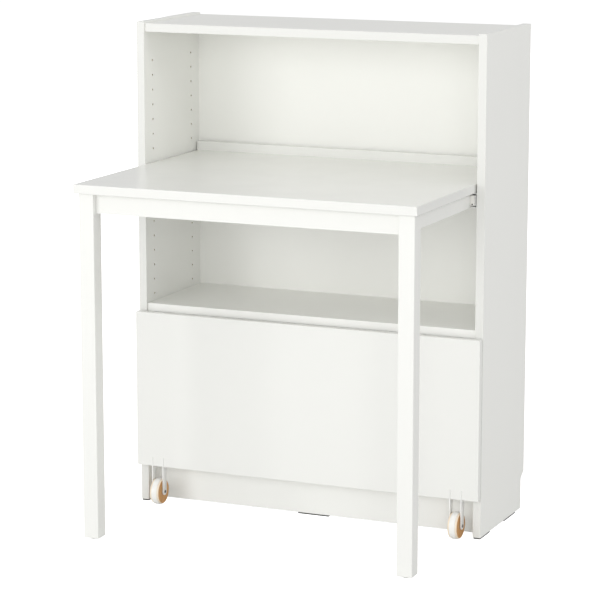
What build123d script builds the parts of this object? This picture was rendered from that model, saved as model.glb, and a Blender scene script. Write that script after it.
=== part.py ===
from build123d import *
import os

# A tall open bookcase with a desk that slides out of it on ball-bearing runners, and a deep
# storage box that rolls out of its lowest compartment on two castors.
# X is the width, Y the depth with the back of the case at the highest Y, and Z is up.
# The origin is on the floor, at the middle of the whole footprint with the desk pushed in.

# ---- Driving dimensions, in millimetres ----
case_width = 796
case_depth = 280
case_height = 1060
desk_reach = 334        # from the front of the case to the front of the desk, pushed in
desk_height = 753
side_thickness = 18
board_thickness = 16
edge_radius = 0.8
floor_gap = 3           # height of the plastic pads that everything stands on

top_thickness = 18
top_recess = 4          # the top board lies this far below the ends of the sides
shelf_top = 446
shelf_thickness = 18
board_setback = 5       # the top and the shelf stand this far back between the sides
plinth_height = 80
plinth_recess = 36
bottom_recess = 8       # the bottom board stands back behind the rolling box's front

back_thickness = 3
back_inset = 10         # from the back panel's inner face to the back of the case
groove_depth = 6
groove_play = 0.2

skirting_depth = 19     # cut out of the back of each side, so the case stands to the wall
skirting_low = 70
skirting_high = 83

pin_pitch = 32
pin_radius = 2.5
pin_depth = 10
pin_first = 462
pin_front = 40
pin_back = 230
lower_pins = 7
upper_pins_from = 10
upper_pins_to = 17

desk_thickness = 19
desk_side_gap = 3
desk_tail = 264         # how far the pushed-in desk reaches behind the front of the case
upstand_height = 20
upstand_thickness = 12
upstand_rebate = 5
leg_size = 34
leg_side_inset = 8
leg_front_inset = 9
apron_height = 42
apron_thickness = 16
apron_recess = 12
rail_height = 32
rail_thickness = 18

runner_thickness = 15   # the gap between the case's side and the desk's side rail
runner_height = 30
runner_length = 250
runner_front = 2
cap_head = 1.5          # thickness of the plastic caps on the front ends of the runners
cap_plug = 8
sheet = 1.2
ball_radius = 1.5

front_thickness = 16
front_gap = 3
front_bottom = 86
front_top = 430         # just covers the gap under the shelf
box_side = 12
box_side_gap = 4
box_depth = 253
box_top = 390
box_floor = 112
box_floor_thickness = 6
box_glide = 3
slip = 0.2

wheel_radius = 29
wheel_width = 21
castor_x = 348
cheek_half = 8          # half the depth of the fork's cheeks, from their front edge to the axle
fork_gap = 23
fork_sheet = 2.5
fork_top = 106
fork_proud = 1          # the fork's front edges stand this far in front of the box's front
axle_radius = 3
running_fit = 0.05

dowel_radius = 4
dowel_length = 30
dowel_in_side = 11
bore_play = 0.05
cam_radius = 7.5
cam_depth = 12
cam_reach = 34
cam_bolt_radius = 2.5
screw_radius = 1.9
screw_head_radius = 3.4
screw_head_height = 1.6

# ---- Places worked out from them ----
half_width = case_width / 2
inner_x = half_width - side_thickness
case_front = (desk_reach - case_depth) / 2
case_back = case_front + case_depth
back_face = case_back - back_inset
top_under = case_height - top_recess - top_thickness
shelf_under = shelf_top - shelf_thickness
bottom_top = plinth_height + board_thickness

cam_rows = [case_front + 92, case_front + 215]
dowel_rows = [case_front + 60, case_front + 183]
plinth_front = case_front + plinth_recess
plinth_row = plinth_front + board_thickness / 2
plinth_dowels = [25, 60]

desk_front = case_front - desk_reach
desk_back = case_front + desk_tail
desk_under = desk_height - desk_thickness
desk_half = inner_x - desk_side_gap
leg_outer = desk_half - leg_side_inset
leg_inner = leg_outer - leg_size
leg_front = desk_front + leg_front_inset
leg_back = leg_front + leg_size
apron_front = leg_front + apron_recess
apron_row = apron_front + apron_thickness / 2
apron_dowels = [desk_under - 10, desk_under - 30]
rail_outer = inner_x - runner_thickness
rail_inner = rail_outer - rail_thickness
rail_middle = (rail_outer + rail_inner) / 2
rail_back = desk_back - 10
rail_dowels = [desk_under - 8, desk_under - 24]
upstand_front = desk_back - upstand_thickness
upstand_row = upstand_front + upstand_thickness / 2
upstand_foot = desk_height - upstand_rebate
upstand_dowels = [(x, upstand_row) for x in (-300, -100, 100, 300)]

runner_z = pin_first + pin_pitch * 8
runner_start = case_front + runner_front
runner_case_screws = [case_front + pin_front, case_front + 134, case_front + pin_back]
runner_desk_screws = [case_front + 20, case_front + 120, case_front + 220]

front_back = case_front - front_gap
front_face = front_back - front_thickness
box_outer = inner_x - box_side_gap
box_inner = box_outer - box_side
box_back = front_back + box_depth
box_under = bottom_top + slip + box_glide
box_dowels = [150, 245, 340]
box_dowel_radius = 3
axle_y = front_face - fork_proud + cheek_half


def middle(limits):
    return (limits[0] + limits[1]) / 2


def span(limits):
    return limits[1] - limits[0]


def block(x, y, z):
    """Add a block between three pairs of limits to the part being built."""
    with BuildSketch(Plane.XY.offset(z[0])) as profile:
        with Locations((middle(x), middle(y))):
            Rectangle(span(x), span(y))
    extrude(profile.sketch, amount=span(z))


def eased_board(x, y, z, radius=edge_radius):
    """A flat board between three pairs of limits, with all its edges eased."""
    with BuildPart() as piece:
        block(x, y, z)
        fillet(piece.edges(), radius)
    return piece.part


def groove(x, y, z):
    """Cut a block between three pairs of limits out of the part being built."""
    with BuildSketch(Plane.XY.offset(z[0])) as profile:
        with Locations((middle(x), middle(y))):
            Rectangle(span(x), span(y))
    extrude(profile.sketch, amount=span(z), mode=Mode.SUBTRACT)


def across_x(x):
    """A plane at one X, where places are (y, z) and a depth counts towards +X."""
    return Plane.YZ.offset(x)


def across_y(y):
    """A plane at one Y, where places are (x, z) and a depth counts towards -Y."""
    return Plane.XZ.offset(-y)


def across_z(z):
    """A plane at one height, where places are (x, y) and a depth counts upwards."""
    return Plane.XY.offset(z)


def pins(plane, places, radius, depth):
    """Add round pins that start on the plane to the part being built."""
    with BuildSketch(plane) as profile:
        with Locations(*places):
            Circle(radius)
    extrude(profile.sketch, amount=depth)


def drill(plane, places, radius, depth):
    """Drill round holes that start on the plane into the part being built."""
    with BuildSketch(plane) as profile:
        with Locations(*places):
            Circle(radius)
    extrude(profile.sketch, amount=depth, mode=Mode.SUBTRACT)


def screws(plane, places, depth, head=screw_head_radius, shank=screw_radius):
    """Add pan-head screws whose heads lie on the plane and whose shanks go to the depth."""
    outwards = -1 if depth > 0 else 1
    pins(plane, places, shank, depth)
    pins(plane, places, head, outwards * screw_head_height)
    with BuildSketch(plane.offset(outwards * screw_head_height)) as profile:
        with Locations(*places):
            Rectangle(head, 0.7)
            Rectangle(0.7, head)
    extrude(profile.sketch, amount=-outwards * 0.9, mode=Mode.SUBTRACT)


def save(part, label):
    """Name a finished piece and write it to its own file."""
    part.label = label
    export_step(part, f"parts/{label}.step")


def hand(side):
    return "left" if side < 0 else "right"


os.makedirs("parts", exist_ok=True)

# ---- Case sides: drilled, grooved for the back panel and cut away over a skirting ----
pin_heights = [pin_first + pin_pitch * step for step in range(lower_pins)]
pin_heights += [pin_first + pin_pitch * step for step in range(upper_pins_from, upper_pins_to)]
pin_places = [(case_front + y, z) for y in (pin_front, pin_back) for z in pin_heights]
shelf_mid = (shelf_top + shelf_under) / 2
bottom_mid = (bottom_top + plinth_height) / 2
top_mid = top_under + top_thickness / 2
case_joints = [shelf_mid, bottom_mid, top_mid]

for side in (-1, 1):
    with BuildPart() as side_panel:
        with BuildSketch(Plane.YZ.offset(side * inner_x)):
            with BuildLine():
                Polyline(
                    (case_front, floor_gap),
                    (case_back - skirting_depth, floor_gap),
                    (case_back - skirting_depth, skirting_low),
                    (case_back, skirting_high),
                    (case_back, case_height),
                    (case_front, case_height),
                    close=True,
                )
            make_face()
        extrude(amount=side * side_thickness)
        fillet(side_panel.edges(), edge_radius)
        panel_groove = sorted((side * inner_x, side * (inner_x + groove_depth)))
        groove(panel_groove, (back_face, back_face + back_thickness + groove_play), (0, case_height - 12))
        inner_face = across_x(side * inner_x)
        drill(inner_face, pin_places, pin_radius, side * pin_depth)
        for height in case_joints:
            drill(inner_face, [(y, height) for y in cam_rows], cam_bolt_radius + bore_play, side * 10.5)
            drill(inner_face, [(y, height) for y in dowel_rows], dowel_radius + bore_play, side * 12)
        drill(inner_face, [(plinth_row, z) for z in plinth_dowels], dowel_radius + bore_play, side * 12)
        drill(inner_face, [(y, runner_z) for y in runner_case_screws], screw_radius + bore_play, side * 13)
    save(side_panel.part, f"side_panel_{hand(side)}")


# ---- Case boards between the sides, each with hidden cam fittings and dowels at both ends ----
def fitted_board(y, z):
    """A board the width of the case, bored at both ends for its dowels, bolts and cams."""
    blank = eased_board((-inner_x, inner_x), y, z)
    height = middle(z)
    with BuildPart() as piece:
        add(blank)
        for side in (-1, 1):
            end_face = across_x(side * inner_x)
            drill(end_face, [(row, height) for row in dowel_rows], dowel_radius + bore_play, -side * 20)
            drill(end_face, [(row, height) for row in cam_rows], dowel_radius, -side * (cam_reach + 2))
            cam_places = [(side * (inner_x - cam_reach), row) for row in cam_rows]
            drill(across_z(z[0]), cam_places, cam_radius + bore_play, cam_depth + bore_play)
    return piece.part


shelf_board = fitted_board(
    (case_front + board_setback, back_face - groove_play), (shelf_under, shelf_top)
)
bottom_board = fitted_board(
    (case_front + bottom_recess, back_face - groove_play), (plinth_height, bottom_top)
)
top_blank = fitted_board(
    (case_front + board_setback, case_back), (top_under, top_under + top_thickness)
)
with BuildPart() as top_board:
    add(top_blank)
    groove(
        (-inner_x, inner_x),
        (back_face, back_face + back_thickness + groove_play),
        (top_under, top_under + groove_depth + 0.5),
    )
save(top_board.part, "top_board")

plinth_blank = eased_board(
    (-inner_x, inner_x), (plinth_front, plinth_front + board_thickness), (floor_gap, plinth_height)
)
with BuildPart() as plinth_board:
    add(plinth_blank)
    for side in (-1, 1):
        drill(
            across_x(side * inner_x), [(plinth_row, z) for z in plinth_dowels],
            dowel_radius + bore_play, -side * 20,
        )
save(plinth_board.part, "plinth_board")

# ---- Back panel: thin hardboard in the grooves, nailed to the shelf and the bottom board ----
back_reach = inner_x + groove_depth - 0.5
back_nails_x = [-320 + 80 * step for step in range(9)]
nail_rows = [shelf_mid, bottom_mid]
nail_places = [(x, z) for x in back_nails_x for z in nail_rows]
nail_radius = 0.7
nail_length = 22
with BuildPart() as back_panel:
    block((-back_reach, back_reach), (back_face, back_face + back_thickness),
          (plinth_height + 4, top_under + groove_depth))
    drill(across_y(back_face + back_thickness), nail_places, nail_radius + bore_play, back_thickness)
save(back_panel.part, "back_panel")

for blank, label, height in (
    (shelf_board, "shelf_board", shelf_mid), (bottom_board, "bottom_board", bottom_mid)
):
    with BuildPart() as board:
        add(blank)
        drill(across_y(back_face), [(x, height) for x in back_nails_x], nail_radius + bore_play, nail_length)
    save(board.part, label)

with BuildPart() as back_nails:
    pins(across_y(back_face + back_thickness), nail_places, nail_radius, nail_length)
    pins(across_y(back_face + back_thickness), nail_places, 2, -0.8)
save(back_nails.part, "back_nails")

# ---- Case fittings ----
with BuildPart() as cam_locks:
    for low, height in ((shelf_under, shelf_mid), (plinth_height, bottom_mid), (top_under, top_mid)):
        for side in (-1, 1):
            cam_x = side * (inner_x - cam_reach)
            pins(across_z(low), [(cam_x, row) for row in cam_rows], cam_radius, cam_depth)
            for row in cam_rows:
                slot = sorted((cam_x - side * 2, cam_x + side * (cam_radius + 1)))
                groove(slot, (row - 3.7, row + 3.7), (height - 3.7, height + 3.7))
                with BuildSketch(across_z(low)):
                    with Locations((cam_x, row)):
                        Rectangle(9, 1.6)
                        Rectangle(1.6, 9)
                extrude(amount=1.8, mode=Mode.SUBTRACT)
save(cam_locks.part, "cam_locks")

with BuildPart() as cam_bolts:
    for height in case_joints:
        for side in (-1, 1):
            tip = across_x(side * (inner_x + 10))
            places = [(row, height) for row in cam_rows]
            pins(tip, places, cam_bolt_radius, -side * (10 + cam_reach - 1))
            pins(across_x(side * (inner_x - cam_reach - 1)), places, 3.4, side * 2.6)
save(cam_bolts.part, "cam_bolts")

with BuildPart() as case_dowels:
    for side in (-1, 1):
        deep_end = across_x(side * (inner_x + dowel_in_side))
        for height in case_joints:
            pins(deep_end, [(row, height) for row in dowel_rows], dowel_radius, -side * dowel_length)
        pins(deep_end, [(plinth_row, z) for z in plinth_dowels], dowel_radius, -side * dowel_length)
save(case_dowels.part, "case_dowels")

# ---- Dark pads that the case stands on ----
with BuildPart() as side_glides:
    for side in (-1, 1):
        pad_x = sorted((side * (inner_x + 1.5), side * (half_width - 1)))
        for pad_y in ((case_front + 1, case_front + 64), (case_front + 155, case_front + 230)):
            block(pad_x, pad_y, (0, floor_gap))
    fillet(side_glides.edges().filter_by(Axis.Z), 2)
save(side_glides.part, "side_glides")

with BuildPart() as plinth_glide:
    block((-36.5, 36.5), (plinth_front + 1, plinth_front + board_thickness - 1), (0, floor_gap))
    fillet(plinth_glide.edges().filter_by(Axis.Z), 2)
save(plinth_glide.part, "plinth_glide")


# ---- Ball-bearing runners: three nested steel channels on each side ----
def channel(side, web, reach, half_height, lip=0.0):
    """A sheet steel channel along Y. web and reach are distances in from the case's side."""
    near, far = sorted((side * (inner_x - web), side * (inner_x - reach)))
    wall = sheet if web < reach else -sheet
    web_x = sorted((side * (inner_x - web), side * (inner_x - web - wall)))
    length = (runner_start, runner_start + runner_length)
    block(web_x, length, (runner_z - half_height, runner_z + half_height))
    for up in (-1, 1):
        edge = runner_z + up * half_height
        block((near, far), length, sorted((edge, edge - up * sheet)))
        if lip:
            lip_x = sorted((side * (inner_x - reach), side * (inner_x - reach + wall)))
            block(lip_x, length, sorted((edge, edge - up * (sheet + lip))))


outer_half = runner_height / 2
ball_gap = 2 * ball_radius + 0.2
middle_half = outer_half - sheet - ball_gap
inner_half = middle_half - sheet - ball_gap
outer_ball_z = middle_half + ball_gap / 2
inner_ball_z = inner_half + ball_gap / 2
ball_pitch = 18
ball_count = 6
row_length = ball_pitch * (ball_count - 1)
ball_rows = [
    (outer_ball_z, 6.5, runner_start + 142),    # height off centre, distance in, first ball
    (inner_ball_z, 9.5, runner_start + 18),
]

for side in (-1, 1):
    with BuildPart() as runner_outer:
        channel(side, 0, 11, outer_half, lip=1.4)
        fillet(runner_outer.edges().filter_by(Axis.Y).group_by(SortBy.LENGTH)[-1], 0.3)
        drill(across_x(side * inner_x), [(y, runner_z) for y in runner_case_screws],
              screw_radius + 0.2, -side * sheet)
    save(runner_outer.part, f"runner_outer_{hand(side)}")

    with BuildPart() as runner_middle:
        channel(side, 3.2, 12, middle_half)
        fillet(runner_middle.edges().filter_by(Axis.Y).group_by(SortBy.LENGTH)[-1], 0.3)
    save(runner_middle.part, f"runner_middle_{hand(side)}")

    with BuildPart() as runner_inner:
        channel(side, runner_thickness, 6, inner_half)
        fillet(runner_inner.edges().filter_by(Axis.Y).group_by(SortBy.LENGTH)[-1], 0.3)
        drill(across_x(side * rail_outer), [(y, runner_z) for y in runner_desk_screws],
              screw_radius + 0.2, side * sheet)
    save(runner_inner.part, f"runner_inner_{hand(side)}")

    with BuildPart() as runner_balls:
        for off, inwards, first in ball_rows:
            for up in (-1, 1):
                for step in range(ball_count):
                    place = (side * (inner_x - inwards), first + ball_pitch * step, runner_z + up * off)
                    with Locations(place):
                        Sphere(ball_radius)
    save(runner_balls.part, f"runner_balls_{hand(side)}")

    with BuildPart() as ball_cage:
        for off, inwards, first in ball_rows:
            for up in (-1, 1):
                cage_x = side * (inner_x - inwards)
                height = runner_z + up * off
                block((cage_x - 2.4, cage_x + 2.4), (first - 5, first + row_length + 5),
                      (height - 0.4, height + 0.4))
                places = [(cage_x, first + ball_pitch * step) for step in range(ball_count)]
                drill(across_z(height - 0.4), places, ball_radius + bore_play, 0.8)
    save(ball_cage.part, f"ball_cage_{hand(side)}")

with BuildPart() as runner_caps:
    for side in (-1, 1):
        block(sorted((side * (inner_x - 4.8), side * (inner_x - 14.4))),
              (runner_start - cap_head, runner_start - bore_play), (runner_z - 10.4, runner_z + 10.4))
        block(sorted((side * (inner_x - 6.2), side * (inner_x - 13.6))),
              (runner_start - cap_head, runner_start + cap_plug), (runner_z - 4.8, runner_z + 4.8))
    fillet(runner_caps.edges().filter_by(Axis.Y).group_by(SortBy.LENGTH)[0], 1.5)
    for side in (-1, 1):
        groove(sorted((side * (inner_x - 8), side * (inner_x - 11.5))),
               (runner_start - cap_head, runner_start), (runner_z - 9.8, runner_z - 6.4))
save(runner_caps.part, "runner_caps")

with BuildPart() as runner_case_fixings:
    for side in (-1, 1):
        screws(across_x(side * (inner_x - sheet)), [(y, runner_z) for y in runner_case_screws],
               side * (12 + sheet))
save(runner_case_fixings.part, "runner_case_screws")

with BuildPart() as runner_desk_fixings:
    for side in (-1, 1):
        screws(across_x(side * (rail_outer + sheet)), [(y, runner_z) for y in runner_desk_screws],
               -side * (12 + sheet))
save(runner_desk_fixings.part, "runner_desk_screws")

# ---- Desk top and its rear upstand ----
leg_dowel_x = leg_outer - 19
leg_dowel_y = leg_front + 9
bracket_ys = [case_front - 200, case_front, case_front + 200]
bracket_xs = [-200, 0, 200]
bracket_size = 16
bracket_sheet = 1.5
bracket_reach = 10      # from the bracket's bend to its screws
side_bracket_screws = [
    (side * (rail_inner - bracket_reach), y) for side in (-1, 1) for y in bracket_ys
]
apron_back = apron_front + apron_thickness
apron_bracket_screws = [(x, apron_back + bracket_reach) for x in bracket_xs]

top_blank = eased_board((-desk_half, desk_half), (desk_front, desk_back), (desk_under, desk_height), 1.2)
with BuildPart() as desk_top:
    add(top_blank)
    drill(across_z(desk_under), [(-leg_dowel_x, leg_dowel_y), (leg_dowel_x, leg_dowel_y)],
          dowel_radius + bore_play, 12)
    drill(across_z(desk_under), side_bracket_screws + apron_bracket_screws, screw_radius + bore_play, 11)
    groove((-desk_half, desk_half), (upstand_front, desk_back), (upstand_foot, desk_height))
    drill(across_z(upstand_foot), upstand_dowels, box_dowel_radius + bore_play, -9)
save(desk_top.part, "desk_top")

upstand_blank = eased_board((-desk_half, desk_half), (upstand_front, desk_back),
                            (upstand_foot, desk_height + upstand_height))
with BuildPart() as rear_upstand:
    add(upstand_blank)
    drill(across_z(upstand_foot), upstand_dowels, box_dowel_radius + bore_play, 13)
save(rear_upstand.part, "rear_upstand")

# ---- Desk frame: two side rails, a front apron and two legs, doweled together ----
corner_wing = 40
corner_z = (desk_under - 30, desk_under - 6)
corner_screw = corner_wing - 8
rail_screw_y = leg_back + corner_screw
apron_screw_x = rail_inner - corner_screw
bracket_z = desk_under - bracket_reach

for side in (-1, 1):
    rail_x = sorted((side * rail_inner, side * rail_outer))
    rail_blank = eased_board(rail_x, (leg_back, rail_back), (desk_under - rail_height, desk_under))
    with BuildPart() as side_rail:
        add(rail_blank)
        drill(across_y(leg_back), [(side * rail_middle, z) for z in rail_dowels],
              dowel_radius + bore_play, -15.5)
        drill(across_x(side * rail_outer), [(y, runner_z) for y in runner_desk_screws],
              screw_radius + bore_play, -side * 12.5)
        inner_face = across_x(side * rail_inner)
        rail_screw_places = [(y, bracket_z) for y in bracket_ys] + [(rail_screw_y, middle(corner_z))]
        drill(inner_face, rail_screw_places, screw_radius + bore_play, side * 11)
    save(side_rail.part, f"side_rail_{hand(side)}")

    leg_x = sorted((side * leg_inner, side * leg_outer))
    leg_blank = eased_board(leg_x, (leg_front, leg_back), (floor_gap, desk_under), 1.5)
    with BuildPart() as leg:
        add(leg_blank)
        drill(across_y(leg_back), [(side * rail_middle, z) for z in rail_dowels],
              dowel_radius + bore_play, 15.5)
        drill(across_x(side * leg_inner), [(apron_row, z) for z in apron_dowels],
              dowel_radius + bore_play, side * 12.5)
        drill(across_z(desk_under), [(side * leg_dowel_x, leg_dowel_y)], dowel_radius + bore_play, -28)
    save(leg.part, f"leg_{hand(side)}")

apron_blank = eased_board((-leg_inner, leg_inner), (apron_front, apron_back),
                          (desk_under - apron_height, desk_under))
with BuildPart() as front_apron:
    add(apron_blank)
    for side in (-1, 1):
        drill(across_x(side * leg_inner), [(apron_row, z) for z in apron_dowels],
              dowel_radius + bore_play, -side * 18)
    apron_screw_places = [(x, bracket_z) for x in bracket_xs]
    apron_screw_places += [(side * apron_screw_x, middle(corner_z)) for side in (-1, 1)]
    drill(across_y(apron_back), apron_screw_places, screw_radius + bore_play, 11)
save(front_apron.part, "front_apron")

with BuildPart() as desk_dowels:
    for side in (-1, 1):
        pins(across_y(leg_back - 15), [(side * rail_middle, z) for z in rail_dowels], dowel_radius, -30)
        pins(across_x(side * (leg_inner + 12)), [(apron_row, z) for z in apron_dowels],
             dowel_radius, -side * 29)
        pins(across_z(desk_under - 27), [(side * leg_dowel_x, leg_dowel_y)], dowel_radius, 38)
    pins(across_z(upstand_foot - 8), upstand_dowels, box_dowel_radius, 20)
save(desk_dowels.part, "desk_dowels")

with BuildPart() as leg_glides:
    leg_pads = [(side * (leg_inner + leg_size / 2), leg_front + leg_size / 2) for side in (-1, 1)]
    pins(across_z(0), leg_pads, 10, floor_gap)
save(leg_glides.part, "leg_glides")

# ---- Steel angle brackets under the desk ----
bracket_half = bracket_size / 2
with BuildPart() as top_brackets:
    for side in (-1, 1):
        flange_x = sorted((side * rail_inner, side * (rail_inner - bracket_size)))
        wing_x = sorted((side * rail_inner, side * (rail_inner - bracket_sheet)))
        for y in bracket_ys:
            block(flange_x, (y - bracket_half, y + bracket_half), (desk_under - bracket_sheet, desk_under))
            block(wing_x, (y - bracket_half, y + bracket_half), (desk_under - bracket_size, desk_under))
        drill(across_x(side * rail_inner), [(y, bracket_z) for y in bracket_ys],
              screw_radius + 0.2, -side * bracket_sheet)
    for x in bracket_xs:
        block((x - bracket_half, x + bracket_half), (apron_back, apron_back + bracket_size),
              (desk_under - bracket_sheet, desk_under))
        block((x - bracket_half, x + bracket_half), (apron_back, apron_back + bracket_sheet),
              (desk_under - bracket_size, desk_under))
    drill(across_y(apron_back), [(x, bracket_z) for x in bracket_xs], screw_radius + 0.2, -bracket_sheet)
    drill(across_z(desk_under), side_bracket_screws + apron_bracket_screws, screw_radius + 0.2, -bracket_sheet)
save(top_brackets.part, "top_brackets")

corner_sheet = 2
with BuildPart() as corner_brackets:
    for side in (-1, 1):
        block(sorted((side * rail_inner, side * (rail_inner - corner_wing))),
              (leg_back, leg_back + corner_sheet), corner_z)
        block(sorted((side * rail_inner, side * (rail_inner - corner_sheet))),
              (leg_back, leg_back + corner_wing), corner_z)
        drill(across_x(side * rail_inner), [(rail_screw_y, middle(corner_z))],
              screw_radius + 0.2, -side * corner_sheet)
        drill(across_y(leg_back), [(side * apron_screw_x, middle(corner_z))],
              screw_radius + 0.2, -corner_sheet)
save(corner_brackets.part, "corner_brackets")

with BuildPart() as bracket_screws:
    for side in (-1, 1):
        screws(across_x(side * (rail_inner - bracket_sheet)), [(y, bracket_z) for y in bracket_ys],
               side * (10 + bracket_sheet))
        screws(across_x(side * (rail_inner - corner_sheet)), [(rail_screw_y, middle(corner_z))],
               side * (10 + corner_sheet))
        screws(across_y(leg_back + corner_sheet), [(side * apron_screw_x, middle(corner_z))],
               10 + corner_sheet)
    screws(across_y(apron_back + bracket_sheet), [(x, bracket_z) for x in bracket_xs], 10 + bracket_sheet)
    screws(across_z(desk_under - bracket_sheet), side_bracket_screws + apron_bracket_screws,
           10 + bracket_sheet)
save(bracket_screws.part, "bracket_screws")

# ---- Rolling box: a full-width front that stands on castors, and a box behind it ----
fork_half = fork_gap / 2 + fork_sheet
slot_play = 0.2
castor_screw_z = [fork_top - 4, front_bottom + 5]
front_blank = eased_board((-half_width, half_width), (front_face, front_back), (front_bottom, front_top), 1.2)
box_floor_z = (box_floor, box_floor + box_floor_thickness)
groove_z = (box_floor - groove_play / 2, box_floor + box_floor_thickness + groove_play / 2)
floor_half = box_inner + 5
with BuildPart() as drawer_front:
    add(front_blank)
    groove((-floor_half - groove_play, floor_half + groove_play), (front_back - 5 - groove_play, front_back),
           groove_z)
    for side in (-1, 1):
        drill(across_y(front_back), [(side * middle((box_inner, box_outer)), z) for z in box_dowels],
              box_dowel_radius + bore_play, 10.5)
        for cheek in (-1, 1):
            cheek_x = side * castor_x + cheek * (fork_half - fork_sheet / 2)
            half_slot = fork_sheet / 2 + slot_play
            groove((cheek_x - half_slot, cheek_x + half_slot), (front_face, front_back),
                   (front_bottom, fork_top + slot_play))
        drill(across_y(front_back), [(side * castor_x, z) for z in castor_screw_z],
              screw_radius + bore_play, 11)
save(drawer_front.part, "drawer_front")

back_front = box_back - box_side
back_row = box_back - box_side / 2
for side in (-1, 1):
    side_x = sorted((side * box_inner, side * box_outer))
    side_blank = eased_board(side_x, (front_back, box_back), (box_under, box_top))
    with BuildPart() as drawer_side:
        add(side_blank)
        groove(sorted((side * box_inner, side * (floor_half + groove_play))), (front_back, back_front + 5),
               groove_z)
        drill(across_y(front_back), [(side * middle((box_inner, box_outer)), z) for z in box_dowels],
              box_dowel_radius + bore_play, -20.5)
        drill(across_x(side * box_inner), [(back_row, z) for z in box_dowels],
              box_dowel_radius + bore_play, side * 8.5)
    save(drawer_side.part, f"drawer_side_{hand(side)}")

box_back_blank = eased_board((-box_inner, box_inner), (back_front, box_back), (box_under, box_top))
with BuildPart() as drawer_back:
    add(box_back_blank)
    groove((-box_inner, box_inner), (back_front, back_front + 5 + groove_play), groove_z)
    for side in (-1, 1):
        drill(across_x(side * box_inner), [(back_row, z) for z in box_dowels],
              box_dowel_radius + bore_play, -side * 22.5)
save(drawer_back.part, "drawer_back")

with BuildPart() as drawer_bottom:
    block((-floor_half, floor_half), (front_back - 5, back_front), box_floor_z)
    block((-box_inner + 1, box_inner - 1), (back_front, back_front + 5), box_floor_z)
save(drawer_bottom.part, "drawer_bottom")

with BuildPart() as drawer_dowels:
    for side in (-1, 1):
        pins(across_y(front_back - 10), [(side * middle((box_inner, box_outer)), z) for z in box_dowels],
             box_dowel_radius, -30)
        pins(across_x(side * (box_inner + 8)), [(back_row, z) for z in box_dowels],
             box_dowel_radius, -side * 30)
save(drawer_dowels.part, "drawer_dowels")

with BuildPart() as drawer_glides:
    for side in (-1, 1):
        block(sorted((side * (box_inner + 1), side * (box_outer - 1))), (box_back - 60, box_back - 10),
              (box_under - box_glide, box_under))
    fillet(drawer_glides.edges().filter_by(Axis.Z), 3)
save(drawer_glides.part, "drawer_glides")

# ---- Castors: a bent steel fork, a riveted axle, and a wooden wheel with a rubber tyre ----
cheek_flare_low = 74     # the cheeks widen between these heights, back to the web
cheek_flare_high = 84
axle_head = 3.6
axle_head_height = 1
tyre_width = 13
tyre_seat = 25
core_radius = 27.4
core_bevel = 1.6
bush_radius = 4.5
washer_thickness = 0.8
half_wheel = wheel_width / 2
half_tyre = tyre_width / 2

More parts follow.
